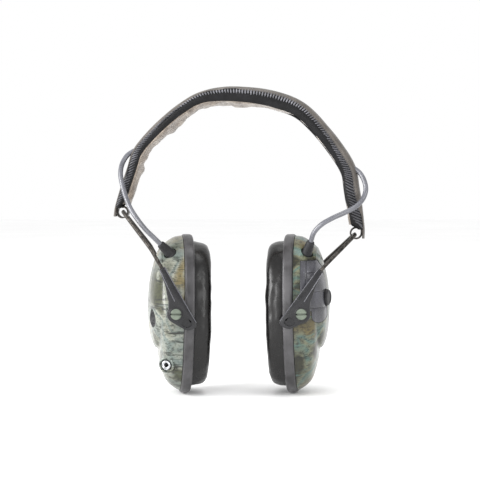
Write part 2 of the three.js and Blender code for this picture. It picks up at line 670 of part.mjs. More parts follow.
function buildSide(side) {
  const { name } = side;
  const yoke = new THREE.Group();
  yoke.name = `${name}_fold_axis`;
  yoke.position.set(side.hinge[0], HINGE_Y, side.hinge[1]);
  yoke.rotation.z = YOKE_TOE_IN;
  const postFromHinge = new THREE.Vector3(
    (side.post[0] - side.hinge[0]) / Math.cos(YOKE_TOE_IN), 0, side.post[1] - side.hinge[1]);
  addMesh(yoke, `${name}_yoke_wire`, yokeWire(side, postFromHinge), 'steel');

  const arms = new THREE.Group();
  arms.name = `${name}_height_axis`;
  arms.position.copy(postFromHinge);
  arms.rotation.y = THREE.MathUtils.degToRad(side.armLean);
  yoke.add(arms);
  addMesh(arms, `${name}_front_arm`, arm(-1), 'blackPlastic');
  addMesh(arms, `${name}_rear_arm`, arm(1), 'blackPlastic');

  const cup = new THREE.Group();
  cup.name = `${name}_tilt_axis`;
  cup.position.copy(postFromHinge);
  cup.rotation.y = CUP_TILT;
  yoke.add(cup);
  const housing = new THREE.Group();
  housing.name = `${name}_cup_frame`;
  housing.position.x = CUP_OFFSET;
  housing.rotation.z = CUP_TOE_IN;
  cup.add(housing);
  if (side.sign < 0) {
    mirror(yoke);
  }
  housing.updateWorldMatrix(true, false);
  fillHousing(housing, side);
  if (side.sign < 0) {
    mirrorContents(housing);
  }
  return yoke;
}

// ---------- Whole earmuff ----------

// The lead is one cable, drawn as stretches that each bend with one pair of neighbouring bodies
const LEAD_STRETCHES = [['lower', 0, 24], ['middle', 24.5, 54], ['upper', 54.5, Infinity]];
const STRETCH_POINTS = 8;

function addLead(group, side) {
  const route = new THREE.CatmullRomCurve3(
    side.lead.map((point) => new THREE.Vector3(...point)), false, 'centripetal');
  const length = route.getLength();
  LEAD_STRETCHES.forEach(([part, from, to]) => {
    const span = Math.min(to, length) - from;
    const points = Array.from({ length: STRETCH_POINTS }, (_, i) => (
      route.getPointAt((from + (span * i) / (STRETCH_POINTS - 1)) / length)));
    addMesh(group, `${side.name}_lead_${part}`, tube(points, LEAD_RADIUS, STRETCH_POINTS), 'cable');
  });
}

const earmuff = new THREE.Group();
earmuff.add(headband());
SIDES.forEach((side) => {
  earmuff.add(buildSide(side));
  addLead(earmuff, side);
});

export default earmuff;
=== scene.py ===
"""Looks of an electronic earmuff: camouflage cups, padded vinyl headband, wire yokes and two leads."""

import math
from bisect import bisect_right

import bmesh
import bpy
from mathutils import Matrix, Vector, noise


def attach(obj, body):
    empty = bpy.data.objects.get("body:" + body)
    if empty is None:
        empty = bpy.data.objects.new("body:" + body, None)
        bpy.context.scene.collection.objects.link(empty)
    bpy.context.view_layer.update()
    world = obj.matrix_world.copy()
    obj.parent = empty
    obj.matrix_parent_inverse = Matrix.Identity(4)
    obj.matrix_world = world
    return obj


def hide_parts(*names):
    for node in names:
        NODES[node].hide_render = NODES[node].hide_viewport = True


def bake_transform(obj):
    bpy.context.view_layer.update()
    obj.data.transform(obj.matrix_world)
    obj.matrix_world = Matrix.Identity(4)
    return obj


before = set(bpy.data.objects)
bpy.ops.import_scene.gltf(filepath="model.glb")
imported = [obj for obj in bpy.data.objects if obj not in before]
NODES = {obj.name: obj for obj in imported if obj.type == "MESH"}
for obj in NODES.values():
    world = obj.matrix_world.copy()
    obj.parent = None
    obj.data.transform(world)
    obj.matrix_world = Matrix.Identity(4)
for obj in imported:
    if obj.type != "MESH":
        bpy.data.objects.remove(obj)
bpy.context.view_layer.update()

# --- Dimensions of the part, in millimetres

MM = 0.001
GAP = 0.3  # between pieces that fit into each other
ENDS = (("front", -1), ("rear", 1))  # of y, with its sign

# Cups: x goes outward from the posts, and the shell, rim and cushion are rounded ovals in y and z
OVAL_EXPONENT = 2.3
OVAL_STEPS = 96
CUP_CENTRE_Z = -3
RIM_HALF_HEIGHT, RIM_HALF_WIDTH = 57, 42
RIM_OUTER_X, RIM_INNER_X = -6.8, -14.1
CUSHION_HALF_HEIGHT, CUSHION_HALF_WIDTH = 52.5, 38
CUSHION_FACE_X = -26.6
EAR_INSET = 19.5  # width of the cushion around the ear
WALL = 2.2
SHELL_LEVELS = [  # distance outward from the rim, lowest z, highest z, half width
    (0, -58.5, 53, 40), (5, -55.5, 52, 39.5), (10, -50.5, 49, 38.5), (13.5, -41, 46, 36.5),
    (15, -34, 44.5, 35), (15.5, -29, 44, 34.5), (18, -27, 38, 31), (20.5, -21.5, 28, 26),
    (22, -14, 20, 19), (23.2, 0, 5, 6),
]
CUP_TOE_IN, CUP_TILT = -2.5, -1.2  # degrees
CUP_OFFSET = 2.3

# Yoke wires and the arms that slide on them
WIRE_RADIUS = 1.3
LEG_Y = 45.2
CHANNEL_P = -7.2  # channel's distance from the post, across the arm
ARM_INNER_Y, ARM_OUTER_Y, ARM_TOP = 42.8, 47.5, 32.4
LEG_BOTTOM, KINK, BAR_HALF_LENGTH = -9, 34, 14
POST_HEAD_Y = 48.6
HINGE_Y = -2.65
YOKE_TOE_IN = -4  # degrees

# Headband: tables go by the share of the way from its crown to its end
BAND_CENTRE = (0.3, 0, 122.35)
BAND_YAW, BAND_TILT = -2.5, 5.05  # degrees
BAND_OUTLINE = [
    (0, 97), (20, 95.5), (36.5, 90.5), (50, 81), (66, 65), (80, 46), (83.8, 31.5), (88, 13.6),
    (90.1, 2.6), (90.5, -3.4),
]
BAND_HALF_WIDTH = [(0, 17), (0.42, 17), (0.7, 12.5), (0.9, 10.5), (0.96, 9), (1, 5)]
BAND_THICKNESS = [(0, 13.4), (0.15, 12.8), (0.3, 11), (0.5, 10.6), (0.78, 10.8), (1, 11)]
COVER_DEPTH = [
    (0, 8.9), (0.15, 8.6), (0.3, 7.6), (0.5, 7.3), (0.78, 7), (0.93, 6.9), (0.945, 1.7), (1, 1.6),
]
LINING_END = 0.925
SPRING_DEPTH = [(0, 3), (0.72, 3), (0.85, 1.9), (1, 1.9)]
SPRING_END = 0.93
SPRING_HALF_THICKNESS = 0.5
LOOP_X, LOOP_RADIUS, LOOP_TURN = 84.2, 3.9, -308  # the turn in degrees

# Sides: post and hinge as (x, z), lean of the arms in degrees, how far the wire is drawn out of
# them, where the wire lies in its loop, and the route of the lead from its boot to the band
LEAD_DIAMETER = 3.5
SIDES = {
    "left": dict(
        sign=-1, post=(46.5, 60.2), hinge=(83.7, 129.8), lean=29.5, drawn_out=13, bar=(-0.9, 0.3),
        lead=[(-55.2, -27.4, 108.2), (-59.3, -29.6, 112.4), (-65.2, -29.6, 118.2),
              (-71.1, -27, 125.4), (-76.4, -23, 133.3), (-80.1, -19, 141.9), (-82.7, -15.5, 150.4),
              (-84, -12, 157.6), (-83, -8.2, 164.6), (-79.5, -5.6, 170.6), (-75.2, -4.6, 173.6)]),
    "right": dict(
        sign=1, post=(46.5, 60.2), hinge=(84.3, 114.9), lean=36.5, drawn_out=0, bar=(-1, -1.1),
        lead=[(50.7, -27.4, 110), (52.6, -30.4, 116), (57.6, -32.4, 121.6), (65.5, -31.6, 126.2),
              (74.5, -28.4, 130.1), (82.3, -24.6, 134.2), (87.6, -21, 139.6), (89.8, -18.6, 146),
              (88.7, -16, 152.8), (85.6, -13.4, 158.2), (81.6, -12, 161.4)]),
}


# --- Places: from a piece's own millimetres to the frame's metres

class Place:
    """A frame of the part, mirrored in x for the left side."""

    def __init__(self, matrix=None, sign=1):
        self.matrix = matrix or Matrix.Identity(4)
        self.sign = sign

    def point(self, p):
        q = self.matrix @ Vector(p)
        return Vector((self.sign * q.x, q.y, q.z)) * MM

    def local(self, point):
        """The way back, with both points in millimetres."""
        x, y, z = point
        return self.matrix.inverted() @ Vector((self.sign * x, y, z))


def turn(degrees, axis):
    return Matrix.Rotation(math.radians(degrees), 4, axis)


def side_places(side):
    """The places of a side's moving bodies, and of the housing in its cup."""
    (post_x, post_z), (hinge_x, hinge_z) = side["post"], side["hinge"]
    yoke = Matrix.Translation((hinge_x, HINGE_Y, hinge_z)) @ turn(YOKE_TOE_IN, "Z")
    post = Vector(((post_x - hinge_x) / math.cos(math.radians(YOKE_TOE_IN)), 0, post_z - hinge_z))
    at_post = yoke @ Matrix.Translation(post)
    cup = at_post @ turn(CUP_TILT, "Y")
    housing = cup @ Matrix.Translation((CUP_OFFSET, 0, 0)) @ turn(CUP_TOE_IN, "Z")
    matrices = dict(yoke=yoke, arms=at_post @ turn(side["lean"], "Y"), cup=cup, housing=housing)
    places = {name: Place(matrix, side["sign"]) for name, matrix in matrices.items()}
    places["post_from_hinge"] = post
    return places


BAND = Place(Matrix.Translation(BAND_CENTRE) @ turn(BAND_YAW, "Z") @ turn(BAND_TILT, "Y"))
PLACES = {name: side_places(side) for name, side in SIDES.items()}
LEFT_HOUSING, RIGHT_HOUSING = PLACES["left"]["housing"], PLACES["right"]["housing"]


# --- Curves

SHORTEST_KNOT = 1e-4
SPAN_STEPS = 24
TANGENT_STEP = 0.2


def catmull(points, per_span):
    """Dense points of a centripetal Catmull-Rom curve through the given ones."""
    ends = [2 * points[0] - points[1], *points, 2 * points[-1] - points[-2]]
    dense = []
    for quad in zip(ends, ends[1:], ends[2:], ends[3:]):
        t = [0.0]
        for p, q in zip(quad, quad[1:]):
            t.append(t[-1] + max((q - p).length ** 0.5, SHORTEST_KNOT))
        for i in range(per_span):
            u = t[1] + (t[2] - t[1]) * i / per_span
            level = list(quad)
            for step in (1, 2):
                level = [level[k].lerp(level[k + 1], (u - t[k]) / (t[k + step] - t[k]))
                         for k in range(len(level) - 1)]
            dense.append(level[0].lerp(level[1], (u - t[1]) / (t[2] - t[1])))
    dense.append(points[-1].copy())
    return dense


class Path:
    """A smooth line that is asked for points by distance, and goes straight on past its ends."""

    def __init__(self, points):
        self.points = catmull([Vector(p) for p in points], SPAN_STEPS)
        self.reach = [0.0]
        for p, q in zip(self.points, self.points[1:]):
            self.reach.append(self.reach[-1] + (q - p).length)
        self.length = self.reach[-1]

    def at(self, distance):
        i = min(max(bisect_right(self.reach, distance) - 1, 0), len(self.points) - 2)
        share = (distance - self.reach[i]) / (self.reach[i + 1] - self.reach[i])
        return self.points[i] + (self.points[i + 1] - self.points[i]) * share

    def along(self, distance):
        return (self.at(distance + TANGENT_STEP) - self.at(distance - TANGENT_STEP)).normalized()

    def stretch(self, start, end, count):
        return [self.at(start + (end - start) * i / (count - 1)) for i in range(count)]


def value_at(table, share):
    for (a, low), (b, high) in zip(table, table[1:]):
        if share <= b:
            return low + (high - low) * max(share - a, 0) / (b - a)
    return table[-1][1]


BAND_LINE = Path([(-x, 0, z) for x, z in BAND_OUTLINE[:0:-1]] + [(x, 0, z) for x, z in BAND_OUTLINE])


def band_point(share, depth, y):
    """Point of the band at a share from -1, left end, to 1, right end, under its outer face."""
    distance = (share + 1) / 2 * BAND_LINE.length
    along = BAND_LINE.along(distance)
    p = BAND_LINE.at(distance) + Vector((along.z, 0, -along.x)) * depth
    return Vector((p.x, y, p.z))


# --- Shapes: lists of points and faces

CORNERS = ((-1, -1), (1, -1), (1, 1), (-1, 1))


def around(count):
    """Angles at equal steps around a circle."""
    return [2 * math.pi * k / count for k in range(count)]


def loft(rings, closed=False):
    """A skin over rings of points, with flat ends unless the last ring joins the first."""
    count, last = len(rings[0]), len(rings) - 1
    faces = []
    for r in range(len(rings) if closed else last):
        here, there = r * count, (r + 1) % len(rings) * count
        for i in range(count):
            j = (i + 1) % count
            faces.append((here + i, here + j, there + j, there + i))
    if not closed:
        faces.append(tuple(reversed(range(count))))
        faces.append(tuple(last * count + i for i in range(count)))
    return [p for ring in rings for p in ring], faces


def oval(x, centre, half_height, half_width, count=OVAL_STEPS):
    """A ring between an ellipse and a rectangle, level at x."""
    def squared(t):
        return math.copysign(abs(t) ** (2 / OVAL_EXPONENT), t)

    return [Vector((x, half_width * squared(math.cos(a)), centre + half_height * squared(math.sin(a))))
            for a in around(count)]


def oval_frame(half_height, half_width, section):
    """A closed frame whose section is a list of (inset, x)."""
    return loft([oval(x, CUP_CENTRE_Z, half_height - inset, half_width - inset)
                 for inset, x in section], closed=True)


def rounded(section, passes, share=0.25):
    """Cuts the corners of a closed list of points, as often as passes says."""
    for _ in range(passes):
        section = [
            tuple(a + (b - a) * t for a, b in zip(p, q))
            for p, q in zip(section, section[1:] + section[:1]) for t in (share, 1 - share)]
    return section


def directions(points):
    """The direction of a line at each of its points."""
    ends = zip([points[0], *points], [*points[1:], points[-1]])
    return [(after - before).normalized() for before, after in ends]


def circle_frames(points):
    """At each point of a line, two directions across it that don't twist."""
    frames = []
    across = None
    for along in directions(points):
        if across is None:
            across = along.orthogonal()
        across = (across - along * across.dot(along)).normalized()
        frames.append((across, along.cross(across)))
    return frames


def circle(centre, across, up, radius, sides):
    return [centre + (across * math.cos(a) + up * math.sin(a)) * radius for a in around(sides)]


def tube(points, radius, sides=16):
    """A round bar along a line, with one radius or a list of them."""
    radii = radius if isinstance(radius, list) else [radius] * len(points)
    return loft([circle(p, *across, r, sides)
                 for p, r, across in zip(points, radii, circle_frames(points))])


def lathe(profile, point, direction, segments=40):
    """A turned solid from (radius, distance) pairs along a direction, flat at both ends."""
    direction, point = Vector(direction).normalized(), Vector(point)
    u = direction.orthogonal().normalized()
    v = direction.cross(u)
    return loft([circle(point + direction * t, u, v, r, segments) for r, t in profile])


def lathe_ring(profile, point, direction, segments=40):
    """A turned ring whose closed section keeps off the axis."""
    points, faces = lathe(profile, point, direction, segments)
    faces = faces[:-2]  # without the flat ends
    last = (len(profile) - 1) * segments
    faces += [(last + i, last + (i + 1) % segments, (i + 1) % segments, i) for i in range(segments)]
    return points, faces


def prism(outline, low_y, high_y):
    """A flat outline of (x, z) made thick in y."""
    return loft([[Vector((x, y, z)) for x, z in outline] for y in (low_y, high_y)])


def arc(centre, radius, start, end, count):
    x, z = centre
    angles = [math.radians(start + (end - start) * i / (count - 1)) for i in range(count)]
    return [(x + radius * math.cos(a), z + radius * math.sin(a)) for a in angles]


def box_shape(size, centre):
    outline = [(centre[0] + x * size[0] / 2, centre[2] + z * size[2] / 2) for x, z in CORNERS]
    return prism(outline, centre[1] - size[1] / 2, centre[1] + size[1] / 2)


def together(*shapes):
    points, faces = [], []
    for more_points, more_faces in shapes:
        start = len(points)
        points += more_points
        faces += [tuple(start + i for i in face) for face in more_faces]
    return points, faces


# --- Objects

HARD_EDGE = 32  # degrees between faces
SOFT_EDGE = 60


def in_scene(name, data):
    obj = bpy.data.objects.new(name, data)
    bpy.context.scene.collection.objects.link(obj)
    return obj


def make_object(name, shape, place=Place()):
    points, faces = shape
    mesh = bpy.data.meshes.new(name)
    mesh.from_pydata([place.point(p) for p in points], [], faces)
    edit = bmesh.new()
    edit.from_mesh(mesh)
    bmesh.ops.recalc_face_normals(edit, faces=edit.faces)
    edit.to_mesh(mesh)
    edit.free()
    return in_scene(name, mesh)


def bake(obj):
    """Makes the modifiers' result the mesh."""
    evaluated = obj.evaluated_get(bpy.context.evaluated_depsgraph_get())
    mesh = bpy.data.meshes.new_from_object(evaluated)
    obj.modifiers.clear()
    obj.data = mesh


def make_tool(shape, place):
    return make_object("tool", shape, place)


def carve(obj, tool, operation="DIFFERENCE"):
    """Cuts a tool out of the object, or joins it, and removes the tool."""
    modifier = obj.modifiers.new("carve", "BOOLEAN")
    modifier.operation, modifier.solver, modifier.object = operation, "EXACT", tool
    bake(obj)
    bpy.data.objects.remove(tool)


def bevel(obj, width, segments=2):
    modifier = obj.modifiers.new("bevel", "BEVEL")
    modifier.width, modifier.segments = width * MM, segments
    modifier.limit_method, modifier.angle_limit = "ANGLE", math.radians(HARD_EDGE)
    bake(obj)


def smooth(obj, angle):
    """Smooth shading, save along edges that bend by more than the angle."""
    obj.data.shade_smooth()
    obj.data.set_sharp_from_angle(angle=math.radians(angle))


def dress(obj, look, body, slot, stands_for=(), angle=38):
    """Gives the object its look, the body that it rides and the nodes it stands for; slot is not used."""
    obj.data.materials.clear()
    obj.data.materials.append(look)
    smooth(obj, angle)
    if body:
        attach(obj, body)
    if stands_for:
        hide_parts(*stands_for)


def add_piece(name, shape, place, *finish):
    """A piece that is ready as it is made; finish is what dress takes."""
    dress(make_object(name, shape, place), *finish)


# --- Materials

def tint(red, green, blue):
    """An sRGB colour from 0 to 255 as the linear one that a socket takes."""
    linear = [((c / 255 + 0.055) / 1.055) ** 2.4 if c > 10 else c / 3295 for c in (red, green, blue)]
    return (*linear, 1)


class Look:
    """A procedural material, built on the piece's own coordinates in metres."""

    def __init__(self, name, **sockets):
        self.material = bpy.data.materials.new(name)
        self.material.use_nodes = True
        self.tree = self.material.node_tree
        self.shader = self.tree.nodes["Principled BSDF"]
        for socket, value in sockets.items():
            self.shader.inputs[socket.replace("_", " ")].default_value = value
        self.position = self.tree.nodes.new("ShaderNodeTexCoord").outputs["Object"]

    def node(self, kind, inputs, **settings):
        made = self.tree.nodes.new(kind)
        for key, value in settings.items():
            setattr(made, key, value)
        for key, value in inputs.items():
            if isinstance(value, bpy.types.NodeSocket):
                self.tree.links.new(value, made.inputs[key])
            else:
                made.inputs[key].default_value = value
        return made

    def stretched(self, scale, rotation=(0, 0, 0)):
        """The coordinates, turned by degrees and then scaled along each axis."""
        angles = [math.radians(a) for a in rotation]
        turned = self.node("ShaderNodeMapping", {"Vector": self.position, "Rotation": angles})
        return self.node("ShaderNodeMapping", {"Vector": turned.outputs[0], "Scale": scale}).outputs[0]

    def noise(self, scale, detail=3, roughness=0.55, distortion=0, vector=None):
        return self.node("ShaderNodeTexNoise", {
            "Vector": vector or self.position, "Scale": scale, "Detail": detail,
            "Roughness": roughness, "Distortion": distortion}).outputs["Fac"]

    def cells(self, scale):
        return self.node("ShaderNodeTexVoronoi", {"Vector": self.position, "Scale": scale}).outputs[0]

    def wave(self, scale, distortion, detail):
        return self.node("ShaderNodeTexWave", {
            "Vector": self.position, "Scale": scale, "Distortion": distortion,
            "Detail": detail}).outputs["Fac"]

    def ramp(self, value, stops):
        """Colours by a value, from a list of (position, colour)."""
        made = self.node("ShaderNodeValToRGB", {"Fac": value})
        elements = made.color_ramp.elements
        for i, (position, colour) in enumerate(stops):
            element = elements[i] if i < 2 else elements.new(position)
            element.position, element.color = position, colour
        return made.outputs["Color"]

    def level(self, value, low, high, start, end):
        """The value stretched so that low gives start and high gives end."""
        return self.node("ShaderNodeMapRange", {
            "Value": value, "From Min": low, "From Max": high, "To Min": start, "To Max": end}).outputs[0]

    def mix(self, share, a, b):
        """Colour a turned into colour b by a share; those are a mix node's colour sockets."""
        return self.node("ShaderNodeMix", {0: share, 6: a, 7: b}, data_type="RGBA").outputs[2]

    def colour(self, socket):
        self.tree.links.new(socket, self.shader.inputs["Base Color"])

    def roughness(self, socket):
        self.tree.links.new(socket, self.shader.inputs["Roughness"])

    def gloss(self, scale, low, high):
            self.roughness(self.level(self.noise(scale, 3), 0.3, 0.7, low, high))

    def two_tone(self, value, dark, light, start=0.3, end=0.72):
        self.colour(self.ramp(value, [(start, tint(*dark)), (end, tint(*light))]))

    def bump(self, *layers):
        """Layers of (height, strength, depth in metres)."""
        normal = None
        for height, strength, depth in layers:
            inputs = {"Height": height, "Strength": strength, "Distance": depth}
            if normal:
                inputs["Normal"] = normal
            normal = self.node("ShaderNodeBump", inputs).outputs["Normal"]
        self.tree.links.new(normal, self.shader.inputs["Normal"])


def moulded(name, dark, light, roughness=(0.34, 0.5), grain=0.16, shine=0.3):
    look = Look(name, Specular_IOR_Level=shine)
    mottle = look.noise(90, 4)
    look.two_tone(mottle, dark, light)
    look.gloss(260, *roughness)
    look.bump((look.noise(2600, 2), grain, 0.0002), (mottle, 0.6 * grain, 0.0006))
    return look.material


def vinyl(name, dark, light, roughness, creases, grain=0.22, shine=0.32):
    look = Look(name, Specular_IOR_Level=shine)
    cells = look.cells(1150)
    broad = look.noise(55, 4, distortion=0.6)
    look.two_tone(look.noise(120, 5), dark, light)
    look.gloss(300, *roughness)
    look.bump((cells, grain, 0.00025), (broad, creases, 0.0016))
    return look.material


def camouflage(name, colours, turned, seed):
    """Gloss film printed with a generic pattern: soft patches, brushed strokes and dark reeds."""
    look = Look(name, Coat_Weight=0.35, Coat_Roughness=0.12, Specular_IOR_Level=0.3)
    pale, aqua, khaki, olive, dark = [tint(*c) for c in colours]

    def shifted(scale, angle, offset):
        vector = look.stretched(scale, (angle, 0, 0))
        move = [seed + offset, seed * 0.7, offset]
        return look.node("ShaderNodeVectorMath", {0: vector, 1: move}, operation="ADD").outputs[0]

    patches = look.noise(38, 2, 0.45, 0.3, shifted((1, 1.5, 0.9), turned, 0))
    base = look.ramp(patches, [(0.36, khaki), (0.43, pale), (0.5, aqua), (0.55, pale), (0.62, olive)])
    layers = [  # noise settings, its stretch, turn and shift, then its levels and colour
        ((26, 3, 0.5, 0), (1, 1, 1), 0, 1.9, (0.45, 0.7, 0, 0.55), olive),
        ((300, 8, 0.8, 0), (1, 1, 1.6), 0, 3.1, (0.48, 0.6, 0, 0.85), dark),
        ((26, 8, 0.75, 0.2), (1, 1, 9), 0, 5.3, (0.55, 0.62, 0, 0.7), aqua),
        ((24, 8, 0.75, 0.3), (1, 1.2, 11), -14, 7.7, (0.55, 0.62, 0, 1.0), dark),
        ((40, 5, 0.7, 0.4), (2, 12, 1.2), 24, 9.1, (0.64, 0.7, 0, 0.7), khaki),
    ]
    for settings, stretch, lean, offset, levels, colour in layers:
        marks = look.noise(*settings, shifted(stretch, turned + lean, offset))
        base = look.mix(look.level(marks, *levels), base, colour)
    look.colour(base)
    look.gloss(200, 0.28, 0.42)
    look.bump((look.noise(500, 3), 0.05, 0.0003))
    return look.material


def lining_cloth():
    look = Look("lining_cloth", Sheen_Weight=0.35, Sheen_Roughness=0.5)
    threads = look.wave(700, 2.5, 2)
    folds_and_shade = look.noise(85, 5, 0.6, 1.4, look.stretched((1.6, 0.6, 1.6)))
    # The colour follows the fold height: the cloth's own grey-brown with painted shade, darker in the low
    # parts of the folds
    look.colour(look.ramp(folds_and_shade, [
        (0.3, tint(84, 74, 65)), (0.5, tint(118, 107, 96)), (0.7, tint(146, 135, 122))]))
    look.gloss(400, 0.6, 0.85)
    look.bump((threads, 0.1, 0.0002), (folds_and_shade, 0.6, 0.002))
    return look.material


def worn_steel(name, dark, light, roughness):
    look = Look(name, Metallic=0.85)
    streaks = look.noise(900, 4, vector=look.stretched((1, 1, 0.15)))
    look.two_tone(look.noise(420, 5), dark, light, 0.35, 0.68)
    look.roughness(look.level(streaks, 0.3, 0.7, *roughness))
    look.bump((look.noise(1500, 3), 0.35, 0.0002))
    return look.material


def open_foam():
    look = Look("open_foam", Roughness=0.95)
    cells = look.cells(900)
    look.two_tone(cells, (22, 22, 24), (70, 70, 74), 0.1, 0.6)
    look.bump((cells, 0.8, 0.0006))
    return look.material


def printed(name, base, accent, scale, **sockets):
    look = Look(name, **sockets)
    lines = look.wave(scale, 6, 1)
    look.colour(look.mix(look.level(lines, 0.8, 0.92, 0, 0.8), tint(*base), tint(*accent)))
    look.bump((lines, 0.1, 0.0001))
    return look.material


CAMO = {  # pale, aqua, khaki, olive and dark
    "left": camouflage("camouflage_film", [
        (130, 132, 121), (92, 102, 98), (106, 96, 66), (58, 60, 41), (20, 23, 17)], 12, 0.31),
    "right": camouflage("camouflage_film_b", [
        (100, 102, 82), (70, 96, 90), (96, 85, 50), (38, 38, 24), (9, 11, 8)], -24, 1.37),
}
PLASTIC = moulded("moulded_black_plastic", (18, 18, 19), (34, 34, 36))
ARM_PLASTIC = moulded("arm_plastic", (15, 15, 17), (28, 28, 31), (0.2, 0.3), shine=0.4)
# The arms' own black plastic, coloured lighter as a painted highlight along their flange and ridge
PAINTED_HIGHLIGHT_TRIM = moulded("trim_painted_highlight", (64, 64, 70), (98, 98, 104), (0.2, 0.3), shine=0.7)
PANEL_PLASTIC = moulded("panel_plastic", (44, 44, 48), (70, 70, 77), (0.22, 0.32), shine=0.6)
RIM_PLASTIC = moulded("rim_plastic", (40, 39, 40), (74, 73, 75), (0.3, 0.46), shine=0.4)
POST_PLASTIC = moulded("post_plastic", (66, 74, 66), (104, 112, 100), (0.26, 0.4))
RUBBER = moulded("boot_rubber", (18, 18, 20), (36, 36, 39), (0.45, 0.62))
CABLE = moulded("cable_sheath", (66, 67, 73), (92, 93, 100), (0.3, 0.36), 0.02, shine=0.9)
CUSHION_VINYL = vinyl("cushion_vinyl", (8, 7, 7), (15, 14, 14), (0.26, 0.32), 0.2, 0.015, shine=0.36)
BAND_VINYL = vinyl("band_vinyl", (68, 64, 60), (92, 87, 82), (0.36, 0.5), 0.4)
SIDE_VINYL = vinyl("side_vinyl", (8, 8, 9), (20, 20, 22), (0.34, 0.5), 0.4, shine=0.18)
# The side wall's black vinyl, coloured lighter on the ribs as a painted highlight, stronger on the crown
# than on the slopes
RIB_PAINTED_HIGHLIGHT = {
    "crown": vinyl("crown_ribs_painted_highlight", (58, 58, 62), (104, 104, 110), (0.26, 0.38), 0.3, shine=0.6),
    "slope": vinyl("slope_ribs_painted_highlight", (36, 36, 39), (72, 72, 77), (0.3, 0.42), 0.3, shine=0.5),
}
LINING = lining_cloth()
STEEL = worn_steel("spring_steel", (34, 32, 30), (84, 80, 76), (0.3, 0.5))
CHROME = worn_steel("bright_plating", (150, 153, 156), (206, 208, 210), (0.1, 0.22))
FOAM = open_foam()
BOARD = printed("board_lacquer", (26, 84, 46), (120, 150, 84), 260, Roughness=0.35)
CELL = printed("cell_sleeve", (54, 84, 112), (170, 176, 182), 120, Roughness=0.3, Metallic=0.3)

CARRIED = {  # looks of the nodes whose names hold these words
    "headband_foam": FOAM, "liner_foam": FOAM, "spring_band": STEEL, "screw": STEEL,
    "speaker_driver": STEEL, "potentiometer": STEEL, "circuit_board": BOARD, "battery_cell": CELL,
    "contact": CHROME, "bushing": CHROME, "headband_lead": CABLE, "lead_": CABLE,
    "strain_relief": RUBBER, "microphone_cover": PLASTIC, "microphone": CHROME,
}


def dress_carried_nodes():
    """Gives every CAD node a finish; nodes that a detailed piece replaces aren't shown."""
    for name, obj in NODES.items():
        look = next((look for part, look in CARRIED.items() if part in name), PLASTIC)
        obj.data.materials.clear()
        obj.data.materials.append(look)
        smooth(obj, 30)
        for polygon in obj.data.polygons:
            polygon.material_index = 0


# --- Camera, floor and light

CAMERA_DISTANCE = 1.05  # metres
SENSOR_WIDTH = 36
VIEW_WIDTH = 0.3456  # width of the picture at the distance of the cups
VIEW_CENTRE = Vector((0.0009, 0, 0.1098))
CAMERA_RISE = 2.0  # degrees
FLOOR_HALF_SIZE, FLOOR_Z = 6000, -0.6  # millimetres
LIGHTS_AIM = Vector((0, 0, 0.1))
LIGHTS = [  # name, place, width and height in metres, power in watts
    ("key", (-1.3, -0.5, 0.5), (0.5, 1.2), 28),
    ("fill", (0.9, -1.1, 0.5), (0.2, 1.2), 7),
    ("front_left", (-0.55, -1.2, 0.45), (0.14, 1.0), 8),
    ("top", (0.1, 0.1, 1.4), (1.0, 0.6), 6),
]


def add_camera():
    data = bpy.data.cameras.new("camera")
    data.sensor_width = SENSOR_WIDTH
    data.lens = SENSOR_WIDTH * CAMERA_DISTANCE / VIEW_WIDTH
    camera = in_scene("camera", data)
    rise = math.radians(CAMERA_RISE)
    camera.location = VIEW_CENTRE + Vector((0, -math.cos(rise), math.sin(rise))) * CAMERA_DISTANCE
    camera.rotation_euler = (math.pi / 2 - rise, 0, 0)
    bpy.context.scene.camera = camera


def add_floor():
    points = [Vector((x * FLOOR_HALF_SIZE, y * FLOOR_HALF_SIZE, FLOOR_Z)) for x, y in CORNERS]
    floor = make_object("floor", (points, [(0, 1, 2, 3)]))
    look = Look("floor_paper", Roughness=0.9)
    look.two_tone(look.noise(3, 2), (250, 250, 250), (254, 254, 254), 0.3, 0.7)
    floor.data.materials.append(look.material)


def add_light(name, location, size, power):
    data = bpy.data.lights.new(name, "AREA")
    data.shape, data.size, data.size_y = "RECTANGLE", *size
    data.energy = power
    light = in_scene(name, data)
    light.location = location
    light.rotation_euler = (LIGHTS_AIM - Vector(location)).to_track_quat("-Z", "Y").to_euler()


def add_lights():
    world = bpy.data.worlds.new("studio")
    world.use_nodes = True
    background = world.node_tree.nodes["Background"]
    background.inputs["Color"].default_value = (1, 1, 1, 1)
    background.inputs["Strength"].default_value = 1.0
    bpy.context.scene.world = world
    bpy.context.scene.view_settings.view_transform = "Standard"
    for light in LIGHTS:
        add_light(*light)


# --- Leads

STRETCH = 30.0  # millimetres of lead in each of its three stretches
BOOT_DEPTH = 6.0  # where the lead starts inside its boot
LEAD_SECTIONS = 40


def add_leads():
    """Each lead as three cords along its route."""
    for name, side in SIDES.items():
        route = Path(side["lead"])
        for i, part in enumerate(["lower", "middle", "upper"]):
            start = i * STRETCH - BOOT_DEPTH
            points = route.stretch(start, start + STRETCH, LEAD_SECTIONS)
            cable = make_object(f"{name}_lead_cable_{part}", tube(points, LEAD_DIAMETER / 2))
            dress(cable, CABLE, None, "cable_sheath", [f"{name}_lead_{part}"])
            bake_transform(cable)


# --- Boot of each lead

BOOT_PROFILE = [  # radius, and distance from the place where the lead comes out
    (4.2, -13), (4.2, -11.3), (3.7, -10.9), (3.4, -6), (3.3, -5.8), (3.2, -3.4), (3.0, -3.2),
    (2.9, -1.2), (2.5, -0.4), (1.9, -0.2),
]


def add_boots():
    for name, side in SIDES.items():
        first, second = Vector(side["lead"][0]), Vector(side["lead"][1])
        boot = make_object(f"{name}_boot", lathe(BOOT_PROFILE, first, second - first))
        bevel(boot, 0.25)
        dress(boot, RUBBER, f"{name}_cup", "black_rubber", [f"{name}_strain_relief"])


# --- Cushions

VOXEL_SIZE = 1.9
PRESSURE, STIFFNESS, CLOTH_FRAMES = 2.5, 40, 16
SWELL = 0.9  # how far the air may push the skin out
TUCK_IN = 4  # distance from the rim over which the skin gets loose


